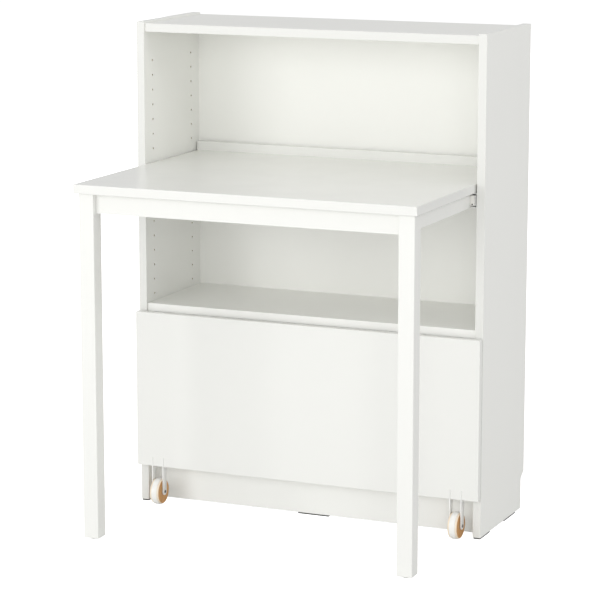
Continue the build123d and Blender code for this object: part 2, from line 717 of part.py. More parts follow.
for side in (-1, 1):
    centre = side * castor_x
    with BuildPart() as castor_fork:
        for cheek in (-1, 1):
            with BuildSketch(across_x(centre + cheek * fork_gap / 2)):
                with Locations((axle_y, wheel_radius)):
                    Circle(cheek_half)
                with BuildLine():
                    Polyline(
                        (axle_y - cheek_half, wheel_radius),
                        (axle_y + cheek_half, wheel_radius),
                        (axle_y + cheek_half, cheek_flare_low),
                        (front_back + fork_sheet, cheek_flare_high),
                        (front_back + fork_sheet, fork_top),
                        (axle_y - cheek_half, fork_top),
                        close=True,
                    )
                make_face()
            extrude(amount=cheek * fork_sheet)
        block((centre - fork_gap / 2, centre + fork_gap / 2), (front_back, front_back + fork_sheet),
              (front_bottom, fork_top))
        drill(across_y(front_back), [(centre, z) for z in castor_screw_z], screw_radius + 0.2, -fork_sheet)
        drill(across_x(centre - fork_half), [(axle_y, wheel_radius)], axle_radius + running_fit, 2 * fork_half)
    save(castor_fork.part, f"castor_fork_{hand(side)}")

    axle_place = [(axle_y, wheel_radius)]
    with BuildPart() as axle:
        pins(across_x(centre - fork_half), axle_place, axle_radius, 2 * fork_half)
        pins(across_x(centre + fork_half), axle_place, axle_head, axle_head_height)
        pins(across_x(centre - fork_half), axle_place, axle_head, -axle_head_height)
        fillet(axle.edges().filter_by(GeomType.CIRCLE).group_by(Axis.X)[-1], 0.4)
        fillet(axle.edges().filter_by(GeomType.CIRCLE).group_by(Axis.X)[0], 0.4)
        for end in (-1, 1):
            with BuildSketch(across_x(centre + end * (fork_half + axle_head_height))):
                with Locations((axle_y, wheel_radius)):
                    RegularPolygon(1.8, 6)
            extrude(amount=-end * 1.6, mode=Mode.SUBTRACT)
    save(axle.part, f"axle_{hand(side)}")

    wheel_axis = Axis((centre, axle_y, wheel_radius), (1, 0, 0))
    wheel_plane = Plane(origin=(centre, axle_y, wheel_radius), x_dir=(1, 0, 0), z_dir=(0, -1, 0))
    with BuildPart() as wheel_core:
        with BuildSketch(wheel_plane):
            with BuildLine():
                Polyline(
                    (-half_wheel, bush_radius + bore_play),
                    (half_wheel, bush_radius + bore_play),
                    (half_wheel, core_radius - core_bevel),
                    (half_wheel - core_bevel, core_radius),
                    (half_tyre + bore_play, core_radius),
                    (half_tyre + bore_play, tyre_seat - bore_play),
                    (-half_tyre - bore_play, tyre_seat - bore_play),
                    (-half_tyre - bore_play, core_radius),
                    (-half_wheel + core_bevel, core_radius),
                    (-half_wheel, core_radius - core_bevel),
                    close=True,
                )
            make_face()
        revolve(axis=wheel_axis)
    save(wheel_core.part, f"wheel_core_{hand(side)}")

    with BuildPart() as wheel_tyre:
        with BuildSketch(wheel_plane):
            with Locations((0, (tyre_seat + wheel_radius) / 2)):
                Rectangle(tyre_width, wheel_radius - tyre_seat)
        revolve(axis=wheel_axis)
        rims = wheel_tyre.edges().filter_by(GeomType.CIRCLE).group_by(SortBy.RADIUS)[-1]
        fillet(rims, 1.2)
    save(wheel_tyre.part, f"wheel_tyre_{hand(side)}")

    with BuildPart() as wheel_bush:
        pins(across_x(centre - half_wheel), axle_place, bush_radius, wheel_width)
        drill(across_x(centre - half_wheel), axle_place, axle_radius + running_fit, wheel_width)
    save(wheel_bush.part, f"wheel_bush_{hand(side)}")

with BuildPart() as axle_washers:
    for centre in (-castor_x, castor_x):
        for end in (-1, 1):
            face = across_x(centre + end * (half_wheel + 0.1))
            pins(face, [(axle_y, wheel_radius)], 7, end * washer_thickness)
            drill(face, [(axle_y, wheel_radius)], axle_radius + running_fit, end * washer_thickness)
save(axle_washers.part, "axle_washers")

with BuildPart() as castor_screws:
    for centre in (-castor_x, castor_x):
        screws(across_y(front_back + fork_sheet), [(centre, z) for z in castor_screw_z], 10 + fork_sheet)
save(castor_screws.part, "castor_screws")
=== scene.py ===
import math

import bmesh
import bpy
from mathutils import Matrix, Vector


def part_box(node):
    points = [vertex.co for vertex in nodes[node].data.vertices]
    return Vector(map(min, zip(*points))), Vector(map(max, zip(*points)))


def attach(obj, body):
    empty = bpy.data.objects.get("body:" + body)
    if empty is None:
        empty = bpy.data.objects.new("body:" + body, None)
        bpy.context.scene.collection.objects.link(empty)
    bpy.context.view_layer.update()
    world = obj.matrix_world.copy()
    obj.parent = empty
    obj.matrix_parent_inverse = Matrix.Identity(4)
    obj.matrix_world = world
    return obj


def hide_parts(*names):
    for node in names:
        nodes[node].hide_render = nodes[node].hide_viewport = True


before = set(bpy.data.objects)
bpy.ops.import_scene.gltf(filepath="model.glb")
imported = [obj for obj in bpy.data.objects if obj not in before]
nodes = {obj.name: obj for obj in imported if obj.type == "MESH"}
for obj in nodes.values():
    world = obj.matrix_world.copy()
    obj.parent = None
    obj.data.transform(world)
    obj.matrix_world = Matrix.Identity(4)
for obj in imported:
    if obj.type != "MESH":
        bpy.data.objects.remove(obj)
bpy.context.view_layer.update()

# ---------------------------------------------------------------- boards of the case
# The sides, top, shelf, bottom and plinth are particleboard faced with a smooth white foil.
# A glued plastic band closes the front edges, and the raw core shows only where the boards
# are bored for shelf pins and fittings or sawn to stand over a skirting.
MM = 0.001


def new_material(name):
    """A material ready for nodes. Returns (material, node tree, Principled shader)."""
    material = bpy.data.materials.new(name)
    material.use_nodes = True
    tree = material.node_tree
    return material, tree, tree.nodes["Principled BSDF"]


def add_node(tree, kind, **values):
    """A node with its settings, then its inputs, given by name (an underscore for a space)."""
    node = tree.nodes.new(kind)
    for key, value in values.items():
        if hasattr(node, key):
            setattr(node, key, value)
        else:
            node.inputs[key.replace("_", " ")].default_value = value
    return node


def wire(tree, source, output, target, *inputs):
    """Join one output of a node to one or more inputs of another."""
    for label in inputs:
        tree.links.new(source.outputs[output], target.inputs[label])


def new_group(name, inputs, outputs):
    """A shader node group with named sockets. Returns (group, its input node, its output node)."""
    group = bpy.data.node_groups.new(name, "ShaderNodeTree")
    for label, kind, value in inputs:
        socket = group.interface.new_socket(label, in_out="INPUT", socket_type=f"NodeSocket{kind}")
        socket.default_value = value
    for label, kind in outputs:
        group.interface.new_socket(label, in_out="OUTPUT", socket_type=f"NodeSocket{kind}")
    return group, group.nodes.new("NodeGroupInput"), group.nodes.new("NodeGroupOutput")


def use_group(tree, group, **values):
    """Place a node group in a tree with its own input values."""
    node = tree.nodes.new("ShaderNodeGroup")
    node.node_tree = group
    for key, value in values.items():
        node.inputs[key.replace("_", " ")].default_value = value
    return node


def dress(material, *names):
    """Give one material to CAD nodes."""
    for name in names:
        slots = nodes[name].data.materials
        slots.clear()
        slots.append(material)


# A film of foil, lacquer, paint or moulded skin: a faint drift of colour, uneven gloss with
# soft handling marks, and a fine relief.
film_group, film_in, film_out = new_group(
    "thin_film",
    [
        ("Colour", "Color", (0.9, 0.9, 0.88, 1)),
        ("Shade", "Color", (0.86, 0.86, 0.83, 1)),
        ("Cloud Scale", "Float", 6.0),
        ("Skin Scale", "Float", 900.0),
        ("Gloss Low", "Float", 0.3),
        ("Gloss High", "Float", 0.42),
    ],
    [("Colour", "Color"), ("Roughness", "Float"), ("Height", "Float")],
)
film_place = add_node(film_group, "ShaderNodeTexCoord")
film_cloud = add_node(film_group, "ShaderNodeTexNoise", Detail=4.0, Roughness=0.55)
film_skin = add_node(film_group, "ShaderNodeTexNoise", Detail=3.0, Roughness=0.6)
film_marks = add_node(film_group, "ShaderNodeTexNoise", Scale=9.0, Detail=2.5, Roughness=0.5, Distortion=0.3)
film_gloss = add_node(film_group, "ShaderNodeMapRange", From_Min=0.25, From_Max=0.75)
film_mix = add_node(film_group, "ShaderNodeMix", data_type="RGBA")
wire(film_group, film_place, "Object", film_cloud, "Vector")
wire(film_group, film_place, "Object", film_skin, "Vector")
wire(film_group, film_place, "Object", film_marks, "Vector")
wire(film_group, film_in, "Cloud Scale", film_cloud, "Scale")
wire(film_group, film_in, "Skin Scale", film_skin, "Scale")
wire(film_group, film_cloud, "Fac", film_mix, "Factor")
wire(film_group, film_in, "Colour", film_mix, "A")
wire(film_group, film_in, "Shade", film_mix, "B")
wire(film_group, film_marks, "Fac", film_gloss, "Value")
wire(film_group, film_in, "Gloss Low", film_gloss, "To Min")
wire(film_group, film_in, "Gloss High", film_gloss, "To Max")
wire(film_group, film_mix, "Result", film_out, "Colour")
wire(film_group, film_gloss, "Result", film_out, "Roughness")
wire(film_group, film_skin, "Fac", film_out, "Height")

# Pressed wood chips, as they show in a bore or a sawn edge.
chip_group, chip_in, chip_out = new_group(
    "pressed_chips",
    [
        ("Light", "Color", (0.62, 0.47, 0.29, 1)),
        ("Dark", "Color", (0.33, 0.21, 0.11, 1)),
        ("Scale", "Float", 420.0),
    ],
    [("Colour", "Color"), ("Height", "Float")],
)
chip_place = add_node(chip_group, "ShaderNodeTexCoord")
chip_flat = add_node(chip_group, "ShaderNodeMapping", Scale=(1.0, 0.6, 2.4))
chip_cells = add_node(chip_group, "ShaderNodeTexVoronoi")
chip_dust = add_node(chip_group, "ShaderNodeTexNoise", Scale=1600.0, Detail=2.0)
chip_tone = add_node(chip_group, "ShaderNodeSeparateColor")
chip_blend = add_node(chip_group, "ShaderNodeMath", operation="MULTIPLY")
chip_mix = add_node(chip_group, "ShaderNodeMix", data_type="RGBA")
wire(chip_group, chip_place, "Object", chip_flat, "Vector")
wire(chip_group, chip_flat, "Vector", chip_cells, "Vector")
wire(chip_group, chip_flat, "Vector", chip_dust, "Vector")
wire(chip_group, chip_in, "Scale", chip_cells, "Scale")
wire(chip_group, chip_cells, "Color", chip_tone, "Color")
wire(chip_group, chip_tone, "Red", chip_blend, 0)
wire(chip_group, chip_dust, "Fac", chip_blend, 1)
wire(chip_group, chip_blend, "Value", chip_mix, "Factor")
wire(chip_group, chip_in, "Light", chip_mix, "A")
wire(chip_group, chip_in, "Dark", chip_mix, "B")
wire(chip_group, chip_mix, "Result", chip_out, "Colour")
wire(chip_group, chip_blend, "Value", chip_out, "Height")

# 1 where a surface lies inside a board's box, as in its bores and sawn cuts, and 0 on its faces.
depth_group, depth_in, depth_out = new_group(
    "inside_board",
    [("Low", "Vector", (0, 0, 0)), ("High", "Vector", (1, 1, 1)), ("Skin", "Float", 1.1 * MM)],
    [("Mask", "Float")],
)
depth_place = add_node(depth_group, "ShaderNodeTexCoord")
depth_from_low = add_node(depth_group, "ShaderNodeVectorMath", operation="SUBTRACT")
depth_to_high = add_node(depth_group, "ShaderNodeVectorMath", operation="SUBTRACT")
depth_nearest = add_node(depth_group, "ShaderNodeVectorMath", operation="MINIMUM")
depth_axes = add_node(depth_group, "ShaderNodeSeparateXYZ")
depth_xy = add_node(depth_group, "ShaderNodeMath", operation="MINIMUM")
depth_xyz = add_node(depth_group, "ShaderNodeMath", operation="MINIMUM")
depth_step = add_node(depth_group, "ShaderNodeMath", operation="GREATER_THAN")
wire(depth_group, depth_place, "Object", depth_from_low, 0)
wire(depth_group, depth_in, "Low", depth_from_low, 1)
wire(depth_group, depth_in, "High", depth_to_high, 0)
wire(depth_group, depth_place, "Object", depth_to_high, 1)
wire(depth_group, depth_from_low, "Vector", depth_nearest, 0)
wire(depth_group, depth_to_high, "Vector", depth_nearest, 1)
wire(depth_group, depth_nearest, "Vector", depth_axes, "Vector")
wire(depth_group, depth_axes, "X", depth_xy, 0)
wire(depth_group, depth_axes, "Y", depth_xy, 1)
wire(depth_group, depth_xy, "Value", depth_xyz, 0)
wire(depth_group, depth_axes, "Z", depth_xyz, 1)
wire(depth_group, depth_xyz, "Value", depth_step, 0)
wire(depth_group, depth_in, "Skin", depth_step, 1)
wire(depth_group, depth_step, "Value", depth_out, "Mask")

# 1 on surfaces that face along a direction, with a soft change round an eased edge.
facing_group, facing_in, facing_out = new_group(
    "facing", [("Direction", "Vector", (0, -1, 0)), ("Width", "Float", 0.25)], [("Mask", "Float")]
)
facing_place = add_node(facing_group, "ShaderNodeTexCoord")
facing_dot = add_node(facing_group, "ShaderNodeVectorMath", operation="DOT_PRODUCT")
facing_from = add_node(facing_group, "ShaderNodeMath", operation="SUBTRACT")
facing_from.inputs[0].default_value = 1.0
facing_range = add_node(facing_group, "ShaderNodeMapRange")
wire(facing_group, facing_place, "Normal", facing_dot, 0)
wire(facing_group, facing_in, "Direction", facing_dot, 1)
wire(facing_group, facing_in, "Width", facing_from, 1)
wire(facing_group, facing_dot, "Value", facing_range, "Value")
wire(facing_group, facing_from, "Value", facing_range, "From Min")
wire(facing_group, facing_range, "Result", facing_out, "Mask")

# The band is glued on with a seam that shows as a faint line just behind the front edge.
band_depth, seam_half, seam_strength = 1.3 * MM, 0.5 * MM, 0.3
seam_colour = (0.3, 0.29, 0.27, 1)


def foil_board(node, band_colour_and_painted_shade, **film_values):
    """Foil on a board's faces, a band glued on its front edge, and raw chips in its bores."""
    low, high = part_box(node)
    material, tree, shader = new_material(f"foil_{node}")
    film = use_group(tree, film_group, **film_values)
    band = use_group(tree, facing_group, Direction=(0, -1, 0), Width=0.3)
    core = use_group(tree, chip_group)
    inside = use_group(tree, depth_group, Low=low, High=high)
    place = add_node(tree, "ShaderNodeTexCoord")
    depth = add_node(tree, "ShaderNodeSeparateXYZ")
    seam = add_node(tree, "ShaderNodeMath", operation="COMPARE")
    seam.inputs[1].default_value = low[1] + band_depth
    seam.inputs[2].default_value = seam_half
    faint = add_node(tree, "ShaderNodeMath", operation="MULTIPLY")
    faint.inputs[1].default_value = seam_strength
    seamed = add_node(tree, "ShaderNodeMix", data_type="RGBA", B=seam_colour)
    # The band's colour is set darker than the foil's, as painted shade on the front edges.
    band_painted_shade_mix = add_node(tree, "ShaderNodeMix", data_type="RGBA", B=band_colour_and_painted_shade)
    coloured = add_node(tree, "ShaderNodeMix", data_type="RGBA")
    band_gloss = add_node(tree, "ShaderNodeMapRange", To_Min=0.0, To_Max=0.05)
    glossed = add_node(tree, "ShaderNodeMath", operation="ADD")
    roughened = add_node(tree, "ShaderNodeMix", data_type="FLOAT", B=0.92)
    raised = add_node(tree, "ShaderNodeMix", data_type="FLOAT")
    relief = add_node(tree, "ShaderNodeBump", Strength=0.03, Distance=0.4 * MM)
    wire(tree, band, "Mask", band_painted_shade_mix, "Factor")
    wire(tree, film, "Colour", band_painted_shade_mix, "A")
    wire(tree, place, "Object", depth, "Vector")
    wire(tree, depth, "Y", seam, 0)
    wire(tree, seam, "Value", faint, 0)
    wire(tree, faint, "Value", seamed, "Factor")
    wire(tree, band_painted_shade_mix, "Result", seamed, "A")
    wire(tree, inside, "Mask", coloured, "Factor")
    wire(tree, seamed, "Result", coloured, "A")
    wire(tree, core, "Colour", coloured, "B")
    wire(tree, coloured, "Result", shader, "Base Color")
    wire(tree, band, "Mask", band_gloss, "Value")
    wire(tree, film, "Roughness", glossed, 0)
    wire(tree, band_gloss, "Result", glossed, 1)
    wire(tree, inside, "Mask", roughened, "Factor")
    wire(tree, glossed, "Value", roughened, "A")
    wire(tree, roughened, "Result", shader, "Roughness")
    wire(tree, inside, "Mask", raised, "Factor")
    wire(tree, film, "Height", raised, "A")
    wire(tree, core, "Height", raised, "B")
    wire(tree, raised, "Result", relief, "Height")
    wire(tree, relief, "Normal", shader, "Normal")
    dress(material, node)


foil_look = dict(Cloud_Scale=4.0, Skin_Scale=1400.0, Gloss_Low=0.3, Gloss_High=0.36)
# Painted light: the sides and top take a darker copy of the same white foil, as painted shade, and their
# bands a darker colour again.
for board in ("side_panel_left", "side_panel_right", "top_board"):
    foil_board(board, band_colour_and_painted_shade=(0.79, 0.792, 0.76, 1), Colour=(0.932, 0.934, 0.9, 1),
               Shade=(0.922, 0.924, 0.888, 1), **foil_look)
# Painted light: the shelf, bottom and plinth take a lighter copy of the same foil, to lift them where they
# sit in shade.
for board in ("shelf_board", "bottom_board", "plinth_board"):
    foil_board(board, band_colour_and_painted_shade=(0.92, 0.921, 0.887, 1), Colour=(0.947, 0.948, 0.913, 1),
               Shade=(0.937, 0.938, 0.901, 1), **foil_look)

# ---------------------------------------------------------------- back panel
# A thin sheet of hardboard slides down the grooves of the sides. Its front is printed white to
# match the boards; its back is bare brown fibre with the imprint of the press's wire screen.
screen_pitch = 1.6 * MM
sheet_material, sheet_tree, sheet_shader = new_material("printed_hardboard")
sheet_film = use_group(sheet_tree, film_group, Colour=(0.93, 0.932, 0.895, 1), Shade=(0.918, 0.92, 0.882, 1),
                       Cloud_Scale=3.0, Skin_Scale=500.0, Gloss_Low=0.42, Gloss_High=0.55)
sheet_back = use_group(sheet_tree, facing_group, Direction=(0, 1, 0), Width=0.3)
sheet_place = add_node(sheet_tree, "ShaderNodeTexCoord")
sheet_fibre = add_node(sheet_tree, "ShaderNodeTexNoise", Scale=260.0, Detail=8.0, Roughness=0.75,
                       Distortion=0.8)
sheet_brown = add_node(sheet_tree, "ShaderNodeMix", data_type="RGBA", A=(0.24, 0.13, 0.06, 1),
                       B=(0.46, 0.3, 0.16, 1))
sheet_wires = []
for direction in ("X", "Z"):
    screen = add_node(sheet_tree, "ShaderNodeTexWave", bands_direction=direction, Distortion=0.6, Detail=1.0,
                      Scale=math.tau / 20 / screen_pitch)
    wire(sheet_tree, sheet_place, "Object", screen, "Vector")
    sheet_wires.append(screen)
sheet_screen = add_node(sheet_tree, "ShaderNodeMath", operation="MULTIPLY")
sheet_height = add_node(sheet_tree, "ShaderNodeMix", data_type="FLOAT")
sheet_colour = add_node(sheet_tree, "ShaderNodeMix", data_type="RGBA")
sheet_gloss = add_node(sheet_tree, "ShaderNodeMix", data_type="FLOAT", B=0.85)
sheet_bump = add_node(sheet_tree, "ShaderNodeBump", Strength=0.12, Distance=0.5 * MM)
wire(sheet_tree, sheet_place, "Object", sheet_fibre, "Vector")
wire(sheet_tree, sheet_fibre, "Fac", sheet_brown, "Factor")
wire(sheet_tree, sheet_wires[0], "Fac", sheet_screen, 0)
wire(sheet_tree, sheet_wires[1], "Fac", sheet_screen, 1)
for mixer in (sheet_height, sheet_colour, sheet_gloss):
    wire(sheet_tree, sheet_back, "Mask", mixer, "Factor")
wire(sheet_tree, sheet_film, "Height", sheet_height, "A")
wire(sheet_tree, sheet_screen, "Value", sheet_height, "B")
wire(sheet_tree, sheet_film, "Colour", sheet_colour, "A")
wire(sheet_tree, sheet_brown, "Result", sheet_colour, "B")
wire(sheet_tree, sheet_film, "Roughness", sheet_gloss, "A")
wire(sheet_tree, sheet_colour, "Result", sheet_shader, "Base Color")
wire(sheet_tree, sheet_gloss, "Result", sheet_shader, "Roughness")
wire(sheet_tree, sheet_height, "Result", sheet_bump, "Height")
wire(sheet_tree, sheet_bump, "Normal", sheet_shader, "Normal")
dress(sheet_material, "back_panel")

# ---------------------------------------------------------------- dowels
# Plain beech dowels, turned to size and cut to length, are glued into one board and pushed into
# the next. Their fine pores run along them.
grain_group, grain_in, grain_out = new_group(
    "wood_grain",
    [
        ("Light", "Color", (0.66, 0.46, 0.27, 1)),
        ("Dark", "Color", (0.5, 0.31, 0.16, 1)),
        ("Along", "Vector", (1, 1, 0.06)),
        ("Figure Scale", "Float", 220.0),
        ("Pore Scale", "Float", 1500.0),
    ],
    [("Colour", "Color"), ("Roughness", "Float"), ("Height", "Float")],
)
grain_place = add_node(grain_group, "ShaderNodeTexCoord")
grain_stretch = add_node(grain_group, "ShaderNodeVectorMath", operation="MULTIPLY")
grain_figure = add_node(grain_group, "ShaderNodeTexNoise", Detail=3.0, Roughness=0.5, Distortion=0.6)
grain_pores = add_node(grain_group, "ShaderNodeTexNoise", Detail=2.0, Roughness=0.6)
grain_fine = add_node(grain_group, "ShaderNodeMapRange", From_Min=0.4, From_Max=0.7)
grain_sum = add_node(grain_group, "ShaderNodeMix", data_type="FLOAT", Factor=0.35)
grain_clear = add_node(grain_group, "ShaderNodeMapRange", From_Min=0.28, From_Max=0.7)
grain_mix = add_node(grain_group, "ShaderNodeMix", data_type="RGBA")
grain_gloss = add_node(grain_group, "ShaderNodeMapRange", To_Min=0.42, To_Max=0.6)
wire(grain_group, grain_place, "Object", grain_stretch, 0)
wire(grain_group, grain_in, "Along", grain_stretch, 1)
wire(grain_group, grain_stretch, "Vector", grain_figure, "Vector")
wire(grain_group, grain_stretch, "Vector", grain_pores, "Vector")
wire(grain_group, grain_in, "Figure Scale", grain_figure, "Scale")
wire(grain_group, grain_in, "Pore Scale", grain_pores, "Scale")
wire(grain_group, grain_pores, "Fac", grain_fine, "Value")
wire(grain_group, grain_figure, "Fac", grain_sum, "A")
wire(grain_group, grain_fine, "Result", grain_sum, "B")
wire(grain_group, grain_sum, "Result", grain_clear, "Value")
wire(grain_group, grain_clear, "Result", grain_mix, "Factor")
wire(grain_group, grain_in, "Light", grain_mix, "A")
wire(grain_group, grain_in, "Dark", grain_mix, "B")
wire(grain_group, grain_sum, "Result", grain_gloss, "Value")
wire(grain_group, grain_mix, "Result", grain_out, "Colour")
wire(grain_group, grain_gloss, "Result", grain_out, "Roughness")
wire(grain_group, grain_fine, "Result", grain_out, "Height")

beech, beech_tree, beech_shader = new_material("bare_beech")
beech_grain = use_group(beech_tree, grain_group, Along=(0.08, 1, 1))
beech_bump = add_node(beech_tree, "ShaderNodeBump", Strength=0.25, Distance=0.2 * MM)
wire(beech_tree, beech_grain, "Colour", beech_shader, "Base Color")
wire(beech_tree, beech_grain, "Roughness", beech_shader, "Roughness")
wire(beech_tree, beech_grain, "Height", beech_bump, "Height")
wire(beech_tree, beech_bump, "Normal", beech_shader, "Normal")
dress(beech, "case_dowels", "desk_dowels", "drawer_dowels")

# ---------------------------------------------------------------- cam fittings, nails and screws
# Die-cast zinc cams grip the heads of steel bolts inside the boards. Bolts, screws, nails,
# washers and angle brackets are steel, zinc plated after they are made.
metal_group, metal_in, metal_out = new_group(
    "plated_metal",
    [
        ("Colour", "Color", (0.6, 0.6, 0.61, 1)),
        ("Dull", "Color", (0.42, 0.42, 0.43, 1)),
        ("Blotch Scale", "Float", 120.0),
        ("Draw", "Vector", (1, 1, 1)),
        ("Line Scale", "Float", 2200.0),
        ("Gloss Low", "Float", 0.24),
        ("Gloss High", "Float", 0.42),
    ],
    [("Colour", "Color"), ("Roughness", "Float"), ("Height", "Float")],
)
metal_place = add_node(metal_group, "ShaderNodeTexCoord")
metal_stretch = add_node(metal_group, "ShaderNodeVectorMath", operation="MULTIPLY")
metal_blotch = add_node(metal_group, "ShaderNodeTexNoise", Detail=5.0, Roughness=0.65)
metal_lines = add_node(metal_group, "ShaderNodeTexNoise", Detail=2.0, Roughness=0.5)
metal_mix = add_node(metal_group, "ShaderNodeMix", data_type="RGBA")
metal_gloss = add_node(metal_group, "ShaderNodeMapRange", From_Min=0.3, From_Max=0.7)
wire(metal_group, metal_place, "Object", metal_stretch, 0)
wire(metal_group, metal_in, "Draw", metal_stretch, 1)
wire(metal_group, metal_place, "Object", metal_blotch, "Vector")
wire(metal_group, metal_stretch, "Vector", metal_lines, "Vector")
wire(metal_group, metal_in, "Blotch Scale", metal_blotch, "Scale")
wire(metal_group, metal_in, "Line Scale", metal_lines, "Scale")
wire(metal_group, metal_blotch, "Fac", metal_mix, "Factor")
wire(metal_group, metal_in, "Colour", metal_mix, "A")
wire(metal_group, metal_in, "Dull", metal_mix, "B")
wire(metal_group, metal_lines, "Fac", metal_gloss, "Value")
wire(metal_group, metal_in, "Gloss Low", metal_gloss, "To Min")
wire(metal_group, metal_in, "Gloss High", metal_gloss, "To Max")
wire(metal_group, metal_mix, "Result", metal_out, "Colour")
wire(metal_group, metal_gloss, "Result", metal_out, "Roughness")
wire(metal_group, metal_lines, "Fac", metal_out, "Height")


def metal(name, bump=0.1, **values):
    """A bare or plated metal, with drawing lines or a cast grain."""
    material, tree, shader = new_material(name)
    surface = use_group(tree, metal_group, **values)
    relief = add_node(tree, "ShaderNodeBump", Strength=bump, Distance=0.1 * MM)
    wire(tree, surface, "Colour", shader, "Base Color")
    wire(tree, surface, "Roughness", shader, "Roughness")
    wire(tree, surface, "Height", relief, "Height")
    wire(tree, relief, "Normal", shader, "Normal")
    shader.inputs["Metallic"].default_value = 1.0
    return material


cast_zinc = metal("cast_zinc", 0.3, Colour=(0.5, 0.51, 0.53, 1), Dull=(0.36, 0.37, 0.39, 1), Line_Scale=900.0,
                  Gloss_Low=0.38, Gloss_High=0.55)
dress(cast_zinc, "cam_locks")
plated_steel = metal("plated_steel", Colour=(0.66, 0.67, 0.68, 1), Dull=(0.5, 0.51, 0.53, 1))
dress(plated_steel, "cam_bolts", "back_nails", "runner_case_screws", "runner_desk_screws", "bracket_screws",
      "castor_screws", "axle_washers")
pressed_steel = metal("pressed_steel", Colour=(0.7, 0.7, 0.7, 1), Dull=(0.55, 0.55, 0.56, 1),
                      Draw=(1, 0.05, 1))
dress(pressed_steel, "top_brackets", "corner_brackets")


def soften(node, width, sides=2):
    """Round a CAD node's sharp edges, as a press, a mould or a coat of paint does."""
    weld = nodes[node].modifiers.new("joined_edges", "WELD")
    weld.merge_threshold = 0.001 * MM
    bevel = nodes[node].modifiers.new("soft_edges", "BEVEL")
    bevel.width = width
    bevel.segments = sides
    bevel.limit_method = "ANGLE"
    bevel.angle_limit = math.radians(40)


soften("corner_brackets", 0.35 * MM)
soften("top_brackets", 0.3 * MM)

# ---------------------------------------------------------------- pads under the case and the box
# Moulded plastic pads with a fine spark-eroded skin, pressed on under the sides, the plinth and
# the back of the rolling box. They are dark, and slide on a floor without marking it.


def coated(name, bump=0.03, rim=None, **values):
    """A painted, lacquered or moulded finish. Given a rim colour, every face that does not look upwards takes
    it, as painted shade.
    """
    material, tree, shader = new_material(name)
    film = use_group(tree, film_group, **values)
    relief = add_node(tree, "ShaderNodeBump", Strength=bump, Distance=0.5 * MM)
    wire(tree, film, "Colour", shader, "Base Color")
    # A rim colour is painted shade on every face that does not look upwards.
    if rim:
        upper = use_group(tree, facing_group, Direction=(0, 0, 1), Width=0.4)
        painted_shade_below_top = add_node(tree, "ShaderNodeMix", data_type="RGBA", A=rim)
        wire(tree, upper, "Mask", painted_shade_below_top, "Factor")
        wire(tree, film, "Colour", painted_shade_below_top, "B")
        wire(tree, painted_shade_below_top, "Result", shader, "Base Color")
    wire(tree, film, "Roughness", shader, "Roughness")
    wire(tree, film, "Height", relief, "Height")
    wire(tree, relief, "Normal", shader, "Normal")
    return material


dark_plastic = coated("dark_plastic", 0.3, Colour=(0.09, 0.09, 0.088, 1), Shade=(0.06, 0.06, 0.06, 1),
                      Skin_Scale=3000.0, Gloss_Low=0.5, Gloss_High=0.7)
dress(dark_plastic, "side_glides", "plinth_glide", "drawer_glides")

# ---------------------------------------------------------------- runners of the desk
# Each runner is three nested channels, rolled from sheet steel and coated in white epoxy, with
# two rows of hardened balls held by thin pressed cages. A moulded cap plugs the inner one.
runner_coat = coated("white_epoxy", 0.08, Colour=(0.86, 0.86, 0.84, 1), Shade=(0.82, 0.82, 0.8, 1),
                     Skin_Scale=2600.0, Gloss_Low=0.3, Gloss_High=0.42)
for member in ("outer", "middle", "inner"):
    dress(runner_coat, f"runner_{member}_left", f"runner_{member}_right")
cap_plastic = coated("cap_plastic", 0.1, Colour=(0.84, 0.83, 0.79, 1), Shade=(0.78, 0.77, 0.73, 1),
                     Skin_Scale=2600.0, Gloss_Low=0.35, Gloss_High=0.5)
dress(cap_plastic, "runner_caps")
soften("runner_caps", 0.3 * MM)
ball_steel = metal("ball_steel", 0.02, Colour=(0.72, 0.72, 0.73, 1), Dull=(0.62, 0.62, 0.64, 1),
                   Gloss_Low=0.08, Gloss_High=0.16)
dress(ball_steel, "runner_balls_left", "runner_balls_right")
cage_steel = metal("cage_steel", Colour=(0.58, 0.57, 0.55, 1), Dull=(0.42, 0.41, 0.4, 1), Draw=(1, 0.04, 1))
dress(cage_steel, "ball_cage_left", "ball_cage_right")

# ---------------------------------------------------------------- desk
# The legs, rails, apron and rear upstand, and the rolling box's front, are sanded and sprayed
# with satin white lacquer. The top is sprayed twice and rubbed smooth, so it is the glossiest
# piece. Its edges and underside take a darker colour than its upper face, as painted shade.
# A darker copy of the top's white lacquer, as painted shade on the front-lit legs, rails, apron, upstand and
# front.
lacquer = coated("satin_lacquer_painted_shade", 0.02, Colour=(0.868, 0.87, 0.838, 1), Shade=(0.86, 0.862, 0.829, 1),
                 Cloud_Scale=3.0, Skin_Scale=900.0, Gloss_Low=0.28, Gloss_High=0.32)
dress(lacquer, "rear_upstand", "side_rail_left", "side_rail_right", "leg_left", "leg_right", "front_apron",
      "drawer_front")
# The top's rim colour is painted shade on its front edge, ends and underside.
top_lacquer_painted_shade_rim = coated("top_lacquer_painted_shade_rim", 0.01, rim=(0.83, 0.832, 0.8, 1), Colour=(0.898, 0.9, 0.87, 1),
                     Shade=(0.89, 0.892, 0.86, 1), Cloud_Scale=3.0, Skin_Scale=900.0, Gloss_Low=0.23,
                     Gloss_High=0.26)
top_lacquer_painted_shade_rim.node_tree.nodes["Principled BSDF"].inputs["Specular IOR Level"].default_value = 0.75
dress(top_lacquer_painted_shade_rim, "desk_top")

# ---------------------------------------------------------------- pads under the legs
# A pale plastic disc is pinned under each leg, so that the desk can slide out over the floor.
# It is moulded, with an eased edge.
pale_plastic = coated("pale_plastic", 0.15, Colour=(0.62, 0.62, 0.59, 1), Shade=(0.52, 0.52, 0.5, 1),
                      Skin_Scale=2400.0, Gloss_Low=0.35, Gloss_High=0.5)
dress(pale_plastic, "leg_glides")
soften("leg_glides", 0.5 * MM, 3)

